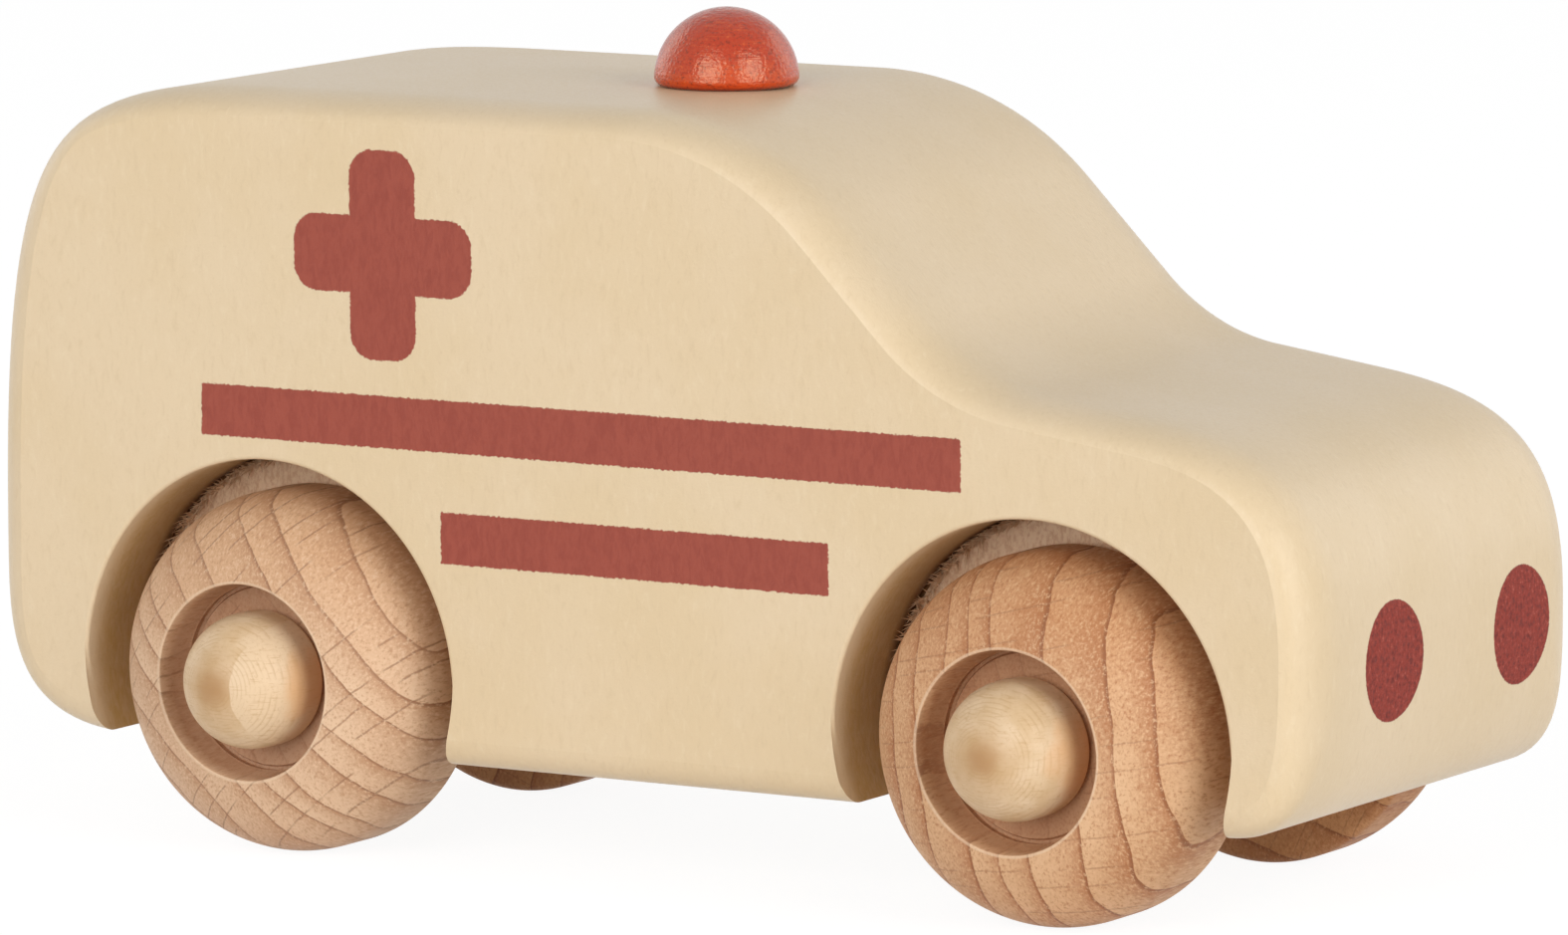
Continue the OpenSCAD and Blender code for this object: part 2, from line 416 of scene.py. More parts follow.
class MeshMaker:
    """Collects points in millimetres and faces, and makes a smooth object of them."""

    def __init__(self):
        self.points = []
        self.faces = []
        self.creases = set()

    def add(self, x, y, z):
        self.points.append((x * MM, y * MM, z * MM))
        return len(self.points) - 1

    def strip(self, a, b, closed=True):
        """Four-sided faces between two rows of points."""
        count = len(a)
        for i in range(count if closed else count - 1):
            j = (i + 1) % count
            self.faces.append((a[i], a[j], b[j], b[i]))

    def fan(self, ring, tip):
        for i, point in enumerate(ring):
            self.faces.append((point, ring[(i + 1) % len(ring)], tip))

    def crease(self, ring):
        """Keeps a closed row of points sharp."""
        self.creases.update(frozenset(pair) for pair in zip(ring, ring[1:] + ring[:1]))

    def finish(self, name, material):
        mesh = bpy.data.meshes.new(name)
        mesh.from_pydata(self.points, [], self.faces)
        work = bmesh.new()
        work.from_mesh(mesh)
        bmesh.ops.recalc_face_normals(work, faces=work.faces)
        work.to_mesh(mesh)
        work.free()
        mesh.shade_smooth()
        mesh.set_sharp_from_angle(angle=math.radians(SHARP_ANGLE))
        for edge in mesh.edges:
            if frozenset(edge.vertices) in self.creases:
                edge.use_edge_sharp = True
        mesh.materials.append(material)
        piece = bpy.data.objects.new(name, mesh)
        bpy.context.scene.collection.objects.link(piece)
        return piece


def blind_hole(maker, mouth, end):
    """Wall from the mouth ring to the end ring, and its closed end."""
    maker.strip(mouth, end)
    maker.faces.append(tuple(end))


def add_fibres(maker, side, axle, start, end, chance):
    """Torn fibres that stand up round the floor of a well."""
    for _ in range(FIBRES):
        turn = math.radians(chance.uniform(end + fibre_end_margin, start - fibre_end_margin))
        across = Vector((math.cos(turn), math.sin(turn)))
        along = left_of(across)
        root = axle + (arch_radius - chance.uniform(*fibre_root)) * across
        lift = chance.uniform(*fibre_lift)
        lean = chance.uniform(-math.pi, math.pi)
        length = chance.uniform(*fibre_length)
        level = length * math.cos(lift)
        tip = root + level * (math.cos(lean) * across + math.sin(lean) * along) - axle
        tip = axle + tip * min(1, (arch_radius - fibre_tip_gap) / tip.length)
        height = length * math.sin(lift)
        base = []
        for k in range(3):
            corner = k * fibre_corner
            spread = fibre_radius * (math.cos(corner) * across + math.sin(corner) * along)
            base.append(maker.add(root.x + spread.x, side * (well_floor - fibre_sink), root.y + spread.y))
        top = maker.add(tip.x, side * (well_floor + height), tip.y)
        maker.faces.append(tuple(base))
        maker.fan(base, top)


def add_well(maker, web, chord, first, axle, side):
    """Floor of a well with its peg hole. Returns the row of points along the well's open lower side."""
    last = first + ARCH_STEPS
    row = [maker.add(point.x, side * well_floor, point.y) for point in chord]
    lower_side = [web[first]] + row + [web[last]]
    floor = web[first:last] + lower_side[:0:-1]
    mouth = []
    end = []
    for index in floor:
        x, _, z = maker.points[index]
        turn = math.atan2(z / MM - axle.y, x / MM - axle.x)
        hole_x = axle.x + peg_hole_radius * math.cos(turn)
        hole_z = axle.y + peg_hole_radius * math.sin(turn)
        mouth.append(maker.add(hole_x, side * well_floor, hole_z))
        end.append(maker.add(hole_x, side * (peg_end - glue_pocket), hole_z))
    maker.strip(floor, mouth)
    blind_hole(maker, mouth, end)
    return lower_side


def add_beacon_hole(maker, corners):
    """Cell of the roof between its four corners and the beacon's hole, and the hole itself."""
    mouth = []
    end = []
    for k in range(HOLE_STEPS):
        turn = 2 * math.pi * k / HOLE_STEPS
        hole_x = beacon_x + tenon_hole_radius * math.cos(turn)
        hole_y = tenon_hole_radius * math.sin(turn)
        mouth.append(maker.add(hole_x, hole_y, roof_height))
        end.append(maker.add(hole_x, hole_y, tenon_end - glue_pocket))
    quarter = HOLE_STEPS // 4
    for k in range(4):
        start = quarter // 2 + k * quarter
        edge = [mouth[(start + i) % HOLE_STEPS] for i in range(quarter, -1, -1)]
        maker.faces.append((corners[k], corners[(k + 1) % 4], *edge))
    blind_hole(maker, mouth, end)


def make_body(material):
    """Painted block: rolled edges, flat sides, four wheel wells with peg holes and the beacon's hole."""
    upper, cell = upper_path()
    lower = lower_path()
    rolls = [BodyRing(upper, lower, *roll_shares(k)) for k in range(ROLL_STEPS + 1)]
    margin = BodyRing(upper, lower, 1, 0, extra=side_margin)
    wall_foot = BodyRing(upper, lower, 0, 0, depth=well_floor + well_groove_height)
    floor_edge = BodyRing(upper, lower, 0, 0, grow=well_groove, depth=well_floor)
    count = len(margin.points)
    maker = MeshMaker()
    chance = random.Random(FIBRE_SEED)
    webs = {}
    for side in (-1, 1):
        rows = []
        for ring in [floor_edge, wall_foot] + rolls + [margin]:
            rows.append([maker.add(x, side * out, z) for x, out, z in ring.points])
        for row, inner in zip(rows, rows[1:]):
            maker.strip(row, inner)
        maker.faces.append(tuple(rows[-1]))
        maker.crease(rows[-2])
        webs[side] = rows[0]

    in_arch = set()
    for first, axle, start, end, chord in floor_edge.arches:
        in_arch.update(range(first, first + ARCH_STEPS))
        chord_points = [point for point, _ in evenly(chord, LOWER_STEPS)[1:-1]]
        lower_sides = {}
        for side in (-1, 1):
            lower_sides[side] = add_well(maker, webs[side], chord_points, first, axle, side)
            add_fibres(maker, side, axle, start, end, chance)
        maker.strip(lower_sides[-1], lower_sides[1], closed=False)

    for i in range(count):
        j = (i + 1) % count
        if i not in in_arch and i != cell:
            maker.faces.append((webs[-1][i], webs[-1][j], webs[1][j], webs[1][i]))

    add_beacon_hole(maker, [webs[1][cell], webs[1][cell + 1], webs[-1][cell + 1], webs[-1][cell]])
    return maker.finish("painted_body", material)


# Turned pieces: a profile is a list of (radius, height along the axis)

def turned_arc(centre, radius, first, last, steps):
    return [tuple(point) for point, _ in arc(Vector(centre), radius, first, last, steps)]


def turn_piece(name, profile, place, material, closed=False):
    """Turns a profile about an axis. place gives the point at a radius's two parts and a height."""
    maker = MeshMaker()
    rows = []
    for radius, height in profile:
        if radius == 0:
            rows.append([maker.add(*place(0, 0, height))])
            continue
        row = []
        for k in range(LATHE_STEPS):
            turn = 2 * math.pi * (k + 0.5) / LATHE_STEPS
            row.append(maker.add(*place(radius * math.cos(turn), radius * math.sin(turn), height)))
        rows.append(row)
    pairs = list(zip(rows, rows[1:]))
    if closed:
        pairs.append((rows[-1], rows[0]))
    for a, b in pairs:
        if len(a) == 1:
            maker.fan(b, a[0])
        elif len(b) == 1:
            maker.fan(a, b[0])
        else:
            maker.strip(a, b)
    return maker.finish(name, material)


def wheel_profile():
    """Bun wheel from its bore round the back, tread and shoulder into the hub recess."""
    shoulder_centre = (wheel_radius - wheel_shoulder, wheel_crest + shoulder_rise - wheel_shoulder)
    lip_radius = recess_mouth_radius + recess_lip
    lip_angle = math.degrees(math.acos((lip_radius - shoulder_centre[0]) / wheel_shoulder))
    ease_centre = (wheel_radius - wheel_back_ease, wheel_back + wheel_back_ease)
    floor = wheel_crest - recess_depth
    lip_height = shoulder_centre[1] + wheel_shoulder * math.sin(math.radians(lip_angle))
    lip_centre = (lip_radius - recess_lip_inset, lip_height - recess_lip)
    return [
        (bore_radius, wheel_back + bore_back_ease),
        (bore_radius + bore_back_ease, wheel_back),
        (wheel_radius - wheel_back_support, wheel_back),
        *turned_arc(ease_centre, wheel_back_ease, -90, 0, EASE_STEPS),
        (wheel_radius, wheel_back + tread_support),
        *turned_arc(shoulder_centre, wheel_shoulder, 0, lip_angle, DOME_STEPS),
        *turned_arc(lip_centre, recess_lip, *recess_lip_turn, LIP_STEPS),
        (recess_mouth_radius + recess_wall_step[0], floor + recess_wall_step[1]),
        *((recess_floor_radius + step, floor + height) for step, height in recess_foot_steps),
        (bore_radius + bore_front_ease, floor),
        (bore_radius, floor - bore_front_ease),
    ]


def peg_profile():
    """Turned peg from the tip of its domed head to the end of its shank."""
    dome_centre = (0, peg_tip - peg_head_radius)
    ease_centre = (peg_head_radius - peg_skirt_ease, peg_head_back + peg_skirt_ease)
    return [
        (0, peg_tip),
        *turned_arc(dome_centre, peg_head_radius, DOME_START, 0, DOME_STEPS),
        (peg_head_radius, peg_head_back + peg_skirt_support),
        *turned_arc(ease_centre, peg_skirt_ease, 0, -90, EASE_STEPS),
        (peg_radius + peg_neck_ease, peg_head_back),
        (peg_radius, peg_head_back - peg_neck_ease),
        (peg_radius, well_floor),
        (peg_radius, peg_end + peg_chamfer),
        (peg_radius - peg_chamfer, peg_end),
        (0, peg_end),
    ]


def beacon_profile():
    """Half-round knob from its top to the end of its tenon."""
    dome_centre = beacon_high.z - beacon_radius
    round_height = roof_height + beacon_base_round
    rise = round_height - dome_centre
    round_x = math.sqrt((beacon_radius - beacon_base_round) ** 2 - rise ** 2)
    meet_angle = math.degrees(math.atan2(rise, round_x))
    return [
        (0, beacon_high.z),
        *turned_arc((0, dome_centre), beacon_radius, DOME_START, meet_angle, DOME_STEPS),
        *turned_arc((round_x, round_height), beacon_base_round, meet_angle, -90, BASE_STEPS)[1:],
        (tenon_radius, roof_height),
        (tenon_radius, tenon_end),
        (0, tenon_end),
    ]


def on_axle(side):
    """Places a profile on an axle, with its height as the distance from the middle of the car."""
    return lambda across, up, out: (across, side * out, up)


# Materials

def srgb(red, green, blue):
    """Linear colour of an 8-bit screen colour."""
    def linear(value):
        share = value / 255
        return share / 12.92 if share <= 0.04045 else ((share + 0.055) / 1.055) ** 2.4
    return (linear(red), linear(green), linear(blue), 1)


class Look:
    """Writes the nodes of a material or of the world as short expressions on sockets."""

    def __init__(self, owner):
        owner.use_nodes = True
        self.owner = owner
        self.tree = owner.node_tree
        self.tree.nodes.clear()

    def node(self, kind, values, **settings):
        made = self.tree.nodes.new("ShaderNode" + kind)
        for key, value in settings.items():
            setattr(made, key, value)
        for key, value in values.items():
            if isinstance(value, bpy.types.NodeSocket):
                self.tree.links.new(value, made.inputs[key])
            else:
                made.inputs[key].default_value = value
        return made

    def place(self):
        """Position on the piece in millimetres."""
        coordinate = self.node("TexCoord", {}).outputs["Object"]
        return self.node("VectorMath", {0: coordinate, "Scale": 1 / MM}, operation="SCALE").outputs[0]

    def split(self, vector):
        return self.node("SeparateXYZ", {0: vector}).outputs[:]

    def join(self, x, y, z):
        return self.node("CombineXYZ", {0: x, 1: y, 2: z}).outputs[0]

    def shifted(self, vector, offset):
        return self.node("VectorMath", {0: vector, 1: offset}, operation="ADD").outputs[0]

    def stretched(self, vector, x, y, z):
        """Vector in which a noise of size 1 has features of these sizes."""
        scale = (1 / x, 1 / y, 1 / z)
        return self.node("VectorMath", {0: vector, 1: scale}, operation="MULTIPLY").outputs[0]

    def math(self, operation, a, b=0.0):
        return self.node("Math", {0: a, 1: b}, operation=operation).outputs[0]

    def plus(self, a, b):
        return self.math("ADD", a, b)

    def minus(self, a, b):
        return self.math("SUBTRACT", a, b)

    def times(self, a, b):
        return self.math("MULTIPLY", a, b)

    def over(self, a, b):
        return self.math("DIVIDE", a, b)

    def length(self, a, b):
        """Length of a vector with these two parts."""
        return self.node("VectorMath", {0: self.join(a, b, 0.0)}, operation="LENGTH").outputs["Value"]

    def noise(self, vector, size=1.0, detail=2.0, roughness=0.5, distortion=0.0):
        values = {"Vector": vector, "Scale": 1 / size, "Detail": detail,
                  "Roughness": roughness, "Distortion": distortion}
        return self.node("TexNoise", values).outputs["Fac"]

    def ramp(self, value, low, high, to_low=0.0, to_high=1.0):
        values = {0: value, 1: low, 2: high, 3: to_low, 4: to_high}
        return self.node("MapRange", values, interpolation_type="SMOOTHSTEP").outputs[0]

    def mix(self, factor, a, b):
        return self.node("Mix", {0: factor, 6: a, 7: b}, data_type="RGBA").outputs[2]

    def bump(self, height, depth, below=None):
        """Surface relief of a height from 0 to 1 that stands for a depth in millimetres."""
        values = {"Height": height, "Distance": depth * MM, "Strength": 1.0}
        if below is not None:
            values["Normal"] = below
        return self.node("Bump", values).outputs[0]

    def surface(self, values):
        shader = self.node("BsdfPrincipled", values)
        self.node("OutputMaterial", {"Surface": shader.outputs[0]})
        return self.owner


def new_look(name):
    return Look(bpy.data.materials.new(name))


# Printed marks on the sides: (low x, high x, low z, high z)
stripes = ((-47.25, 36.64, 40.44, 45.42), (-20.15, 22.48, 29.84, 34.77))
plus_centre = (-26.45, 58.78)
plus_half_length = 10.0
plus_half_width = 3.7
plus_end_round = 2.6
stripe_corner = 0.15
# Printed lamps on the nose
lamp_radius = 5.65
lamp_height = 25.36
lamp_middle_y = 2.27
lamp_spread = 12.69
# How far the print reaches onto a rolled edge
print_depth = 0.3
print_edge = 0.06

# Ragged edge of the print: how far it strays, and the size of its teeth
print_stray = 0.09
print_tooth = 0.3
# Share of the raggedness that the lamps have
lamp_stray_share = 0.6

# How near its radius the wall of a well lies, the depths between which it takes on its brown painted shade,
# the height and strength of the painted shade at its foot, and how far the fibres reach up from the floor
wall_slack = 0.1
wall_shade_start = 0.2
wall_shade_end = 4.0
wall_foot_height = 3.0
wall_foot_shade_share = 0.9
fibre_reach = 2.9
# Tolerances inside a well: below and above its floor, either side of the floor's rim, between fibres and
# wall, and across the start of the groove
floor_slack = 0.05
raised_from = 0.06
floor_rim = (0.02, -0.08)
fibre_wall_gap = 0.04
groove_blend = 0.15

CREAM = srgb(231, 208, 173)
CREAM_WARM = srgb(228, 204, 166)
CREAM_GRAIN = srgb(219, 194, 156)
CREAM_LIGHT = srgb(237, 217, 184)
PRINT_RED = srgb(160, 78, 62)
PRINT_DARK = srgb(150, 70, 56)
PRINT_PALE = srgb(170, 86, 70)
LAMP_RED = srgb(142, 46, 30)
LAMP_DARK = srgb(96, 22, 14)
LAMP_PALE = srgb(190, 98, 80)
# Bare wood of the well floors, paler than the wood itself as painted light for the light that the deep wells
# lack
BARE_WOOD_LIGHTENED = srgb(250, 220, 186)
BARE_DARK = srgb(230, 190, 152)
# Painted shade in the groove round a well's floor and at the foot of its wall, also standing in for the dark
# torn wood in that corner
GROOVE_SHADE = srgb(118, 78, 42)
# Painted shade that browns the wall of a well deeper in
WELL_SHADE = srgb(204, 167, 100)


def rounded_bar(look, u, v, half_u, half_v, corner):
    """Signed distance to an upright bar with rounded corners, negative inside."""
    qu = look.minus(look.math("ABSOLUTE", u), half_u - corner)
    qv = look.minus(look.math("ABSOLUTE", v), half_v - corner)
    outside = look.length(look.math("MAXIMUM", qu), look.math("MAXIMUM", qv))
    inside = look.math("MINIMUM", look.math("MAXIMUM", qu, qv))
    return look.minus(look.plus(outside, inside), corner)


def print_mask(look, at, x, y, z):
    """Where the printed marks lie on the sides and the nose."""
    ragged = look.ramp(look.noise(at, print_tooth, 3, 0.6), 0.25, 0.75, -print_stray, print_stray)
    distances = []
    for low_x, high_x, low_z, high_z in stripes:
        u = look.minus(x, (low_x + high_x) / 2)
        v = look.minus(z, (low_z + high_z) / 2)
        distances.append(rounded_bar(look, u, v, (high_x - low_x) / 2, (high_z - low_z) / 2, stripe_corner))
    u = look.minus(x, plus_centre[0])
    v = look.minus(z, plus_centre[1])
    distances.append(rounded_bar(look, u, v, plus_half_length, plus_half_width, plus_end_round))
    distances.append(rounded_bar(look, u, v, plus_half_width, plus_half_length, plus_end_round))
    side = distances[0]
    for distance in distances[1:]:
        side = look.math("MINIMUM", side, distance)
    side = look.ramp(look.plus(side, ragged), print_edge, -print_edge)
    on_side = look.math("GREATER_THAN", look.math("ABSOLUTE", y), half_width - print_depth)

    lamp_y = look.minus(look.math("ABSOLUTE", look.minus(y, lamp_middle_y)), lamp_spread)
    lamp_z = look.minus(z, lamp_height)
    lamp = look.minus(look.length(lamp_y, lamp_z), lamp_radius)
    lamp = look.plus(lamp, look.times(ragged, lamp_stray_share))
    lamp = look.ramp(lamp, print_edge, -print_edge)
    on_nose = look.math("GREATER_THAN", x, nose_x - 3 * print_depth)
    return look.times(side, on_side), look.times(lamp, on_nose)


def well_masks(look, x, y, z):
    """Where a wheel well's bare floor with its fibres lies, and its painted shade: in the groove round the
    floor, at the foot of the wall and on the wall deeper in.
    """
    out = look.math("ABSOLUTE", y)
    near = [look.length(look.minus(x, axle.x), look.minus(z, axle.y)) for axle in wheel_axles]
    from_axle = look.math("MINIMUM", *near)
    off_arch = look.math("ABSOLUTE", look.minus(from_axle, arch_radius))
    on_wall = look.math("LESS_THAN", off_arch, wall_slack)
    low = look.math("LESS_THAN", out, well_floor + well_groove_height)
    low = look.times(low, look.math("GREATER_THAN", out, well_floor - floor_slack))
    raised = look.math("GREATER_THAN", out, well_floor + raised_from)
    inside = look.ramp(from_axle, arch_radius + floor_rim[0], arch_radius + floor_rim[1])
    off_wall = look.math("LESS_THAN", from_axle, arch_radius - fibre_wall_gap)
    standing = look.times(look.math("LESS_THAN", out, well_floor + fibre_reach), off_wall)
    floor = look.math("MAXIMUM", look.times(low, inside), look.times(standing, raised))
    # Painted shade in the groove round the floor
    in_groove = look.ramp(from_axle, arch_radius, arch_radius + groove_blend)
    groove_end = arch_radius + well_groove + wall_slack
    in_groove = look.times(in_groove, look.math("LESS_THAN", from_axle, groove_end))
    groove = look.times(look.times(low, in_groove), look.minus(1.0, raised))
    # Painted shade on the wall, browner deeper into the well
    wall = look.times(on_wall, look.ramp(out, half_width - wall_shade_start, half_width - wall_shade_end))
    # Painted shade at the foot of the wall
    foot_rise = look.ramp(out, well_floor + wall_foot_height, well_floor + well_groove_height,
                          0, wall_foot_shade_share)
    wall_foot = look.times(on_wall, foot_rise)
    return floor, look.math("MAXIMUM", groove, wall_foot), wall


def painted_wood():
    """Matt cream paint over sanded wood, with brick-red print, bare torn wood in the wells made paler as
    painted light, and painted shade in the wells.
    """
    look = new_look("cream_paint")
    at = look.place()
    x, y, z = look.split(at)
    cloud = look.noise(at, 18, 3)
    scratch = look.noise(look.stretched(at, 0.6, 0.6, 1.6), 1, 3, 0.6, 0.6)
    fleck = look.noise(at, 0.3, 3, 0.65)
    side, lamp = print_mask(look, at, x, y, z)
    floor, groove, wall = well_masks(look, x, y, z)

    cream = look.mix(look.ramp(cloud, 0.35, 0.65), CREAM, CREAM_WARM)
    cream = look.mix(look.ramp(scratch, 0.52, 0.75, 0, 0.4), cream, CREAM_GRAIN)
    cream = look.mix(look.ramp(scratch, 0.46, 0.26, 0, 0.35), cream, CREAM_LIGHT)
    cream = look.mix(look.ramp(fleck, 0.55, 0.8, 0, 0.4), cream, CREAM_GRAIN)
    # Painted shade: browner deeper into a wheel well
    cream = look.mix(look.times(wall, look.ramp(scratch, 0.3, 0.7, 0.6, 0.9)), cream, WELL_SHADE)
    fibre = look.noise(look.stretched(at, 0.3, 0.5, 0.6), 1, 3, 0.65)
    # Bare wood of the wells, its paleness partly painted light
    bare = look.mix(look.ramp(fibre, 0.4, 0.65), BARE_WOOD_LIGHTENED, BARE_DARK)
    red = look.mix(look.ramp(scratch, 0.35, 0.7), PRINT_RED, PRINT_DARK)
    red = look.mix(look.ramp(fleck, 0.58, 0.8, 0, 0.35), red, PRINT_PALE)
    speck = look.noise(look.stretched(at, 0.6, 0.5, 0.55), 1, 4, 0.8)
    lamp_red = look.mix(look.ramp(speck, 0.34, 0.52), LAMP_DARK, LAMP_RED)
    lamp_red = look.mix(look.ramp(speck, 0.56, 0.68, 0, 0.8), lamp_red, LAMP_PALE)
    colour = look.mix(side, cream, red)
    colour = look.mix(lamp, colour, lamp_red)
    colour = look.mix(floor, colour, bare)
    # Painted shade in the groove round a well's floor and at the foot of its wall
    colour = look.mix(groove, colour, GROOVE_SHADE)

    relief = look.bump(scratch, 0.03)
    relief = look.bump(fleck, 0.025, relief)
    printed = look.math("MAXIMUM", side, lamp)
    relief = look.bump(printed, 0.02, relief)
    relief = look.bump(look.times(speck, lamp), 0.03, relief)
    relief = look.bump(look.times(fibre, floor), 0.12, relief)
    roughness = look.plus(look.ramp(fleck, 0.3, 0.7, 0.3, 0.42), look.times(printed, 0.3))
    return look.surface({
        "Base Color": colour,
        "Roughness": roughness,
        "Specular IOR Level": 0.35,
        "Normal": relief,
    })


def srgb_all(*tones):
    return tuple(srgb(*tone) for tone in tones)


# Tones of beech: pale and deep ground, a warmer tone for painted shade towards the top of a wheel, late
# wood, ring line and ray
BEECH_WARM = srgb_all((226, 184, 142), (208, 162, 120), (200, 138, 90),
                      (172, 110, 68), (140, 86, 52), (160, 110, 74))
BEECH_PINK = srgb_all((230, 196, 162), (216, 178, 144), (212, 162, 118),
                      (184, 136, 100), (150, 106, 76), (148, 104, 74))
# Darker beech for the far wheels, as painted shade for their place under the car
BEECH_SHADED = srgb_all((210, 158, 112), (194, 138, 92), (186, 122, 74),
                       (164, 104, 64), (132, 80, 48), (140, 90, 56))
# Painted highlight on the lip of a hub recess, and painted shade inside the recess
LIP_HIGHLIGHT = srgb(238, 210, 178)
RECESS_SHADE = srgb(172, 122, 88)
# Gap between rays in the wood, and the half width of a ray
ray_gap = 2.1
ray_half_width = 0.075


def beech(name, pith_angle, pith_distance, ring_width, ray_strength, tones, seed):
    """Bare turned beech. The rings lie round a pith beside the wheel, and the grain runs along the axle.
    Painted shade deepens its top and its hub recess, and a painted highlight lightens the recess lip.
    """
    pale, deep, warm, late_tone, line_tone, ray_tone = tones
    look = new_look(name)
    at = look.place()
    x, _, z = look.split(at)
    moved = look.shifted(at, (seed * 37.0, seed * 11.0, seed * 23.0))
    wander = look.ramp(look.noise(moved, 20, 2), 0.25, 0.75, -1.2, 1.2)
    ripple = look.ramp(look.noise(moved, 2.6, 2), 0.25, 0.75, -0.06, 0.06)
    pith = reach(Vector((0, 0)), pith_angle, pith_distance)
    from_x = look.minus(x, pith.x)
    from_z = look.minus(z, pith.y)
    away = look.plus(look.length(from_x, from_z), look.plus(wander, ripple))
    around = look.math("ARCTAN2", from_z, from_x)
    along = look.plus(look.times(around, pith_distance), ripple)
    spread = look.noise(look.join(look.over(away, 2.2 * ring_width), seed * 5.3, 0.0), 1, 1)
    years = look.plus(look.over(away, ring_width), look.ramp(spread, 0.25, 0.75, -0.35, 0.35))
    year = look.math("FRACT", years)
    from_axle = look.length(x, z)

    late = look.math("POWER", year, 2.0)
    line = look.times(look.ramp(year, 0.9, 0.97), look.ramp(year, 1.0, 0.985))
    strength = look.ramp(look.noise(moved, 7, 2), 0.3, 0.6, 0.65, 1.0)
    on_face = look.ramp(from_axle, recess_mouth_radius - 0.15, recess_mouth_radius, 0.3, 1.0)
    strength = look.times(strength, on_face)
    cell = look.math("FLOOR", look.over(along, ray_gap))
    draw = look.node("TexWhiteNoise", {"W": look.plus(cell, seed * 31.7)}, noise_dimensions="1D")
    luck = draw.outputs["Value"]
    in_cell = look.math("FRACT", look.over(along, ray_gap))
    off_ray = look.math("ABSOLUTE", look.minus(in_cell, look.ramp(luck, 0, 1, 0.2, 0.8)))
    length_field = look.noise(look.join(look.over(away, 5.0), look.times(cell, 1.7), seed * 3.1), 1, 1)
    ray_share = ray_half_width / ray_gap
    ray = look.ramp(off_ray, 1.6 * ray_share, 0.5 * ray_share)
    ray = look.times(ray, look.ramp(length_field, 0.47, 0.56))
    pore = look.noise(look.stretched(moved, 0.24, 1.4, 0.32), 1, 3, 0.7)
    cloud = look.noise(moved, 8, 3)
    # Band of painted highlight on the lip of the hub recess, and the painted shade inside it
    lip_start = look.ramp(from_axle, recess_mouth_radius - 0.1, recess_mouth_radius + 0.02)
    lip_end = look.ramp(from_axle, recess_mouth_radius + 0.3, recess_mouth_radius + 0.18)
    lip = look.times(lip_start, lip_end)
    recess = look.ramp(from_axle, recess_mouth_radius - 0.02, recess_mouth_radius - 0.15)

    colour = look.mix(look.ramp(cloud, 0.3, 0.7), pale, deep)
    # Painted shade and light bounced off the arch: a warmer, deeper tone towards the top of the wheel
    colour = look.mix(look.ramp(z, -4, 14, 0, 0.6), colour, warm)
    colour = look.mix(look.times(late, look.times(strength, 0.95)), colour, late_tone)
    colour = look.mix(look.times(line, look.times(strength, 0.85)), colour, line_tone)
    colour = look.mix(look.times(ray, ray_strength), colour, ray_tone)
    colour = look.mix(look.ramp(pore, 0.5, 0.7, 0, 0.7), colour, late_tone)
    colour = look.mix(look.ramp(pore, 0.5, 0.32, 0, 0.7), colour, pale)
    # Painted shade inside the hub recess and a painted highlight on its lip
    colour = look.mix(look.times(recess, 0.5), colour, RECESS_SHADE)
    colour = look.mix(look.times(lip, 0.5), colour, LIP_HIGHLIGHT)

    relief = look.bump(pore, 0.06)
    relief = look.bump(look.minus(1.0, line), 0.02, relief)
    relief = look.bump(look.minus(1.0, look.times(ray, ray_strength)), 0.02, relief)
    return look.surface({
        "Base Color": colour,
        "Roughness": look.ramp(pore, 0.3, 0.7, 0.5, 0.66),
        "Specular IOR Level": 0.4,
        "Normal": relief,
    })


MAPLE_PALE = srgb(230, 202, 166)
MAPLE_DEEP = srgb(216, 184, 142)
MAPLE_RING = srgb(188, 146, 96)
MAPLE_PITH = srgb(168, 118, 68)
# Painted shade on the side of a peg head towards the nose
MAPLE_SIDE_SHADE = srgb(228, 176, 122)
# Distance between the fine circles that the lathe left on a peg head
lathe_step = 0.36
# Brown spot at the tip, the warm ground round it, and where the pale part of a split peg starts
pith_spot_radius = 2.6
pith_glow_radius = 5.0
split_place = 1.7


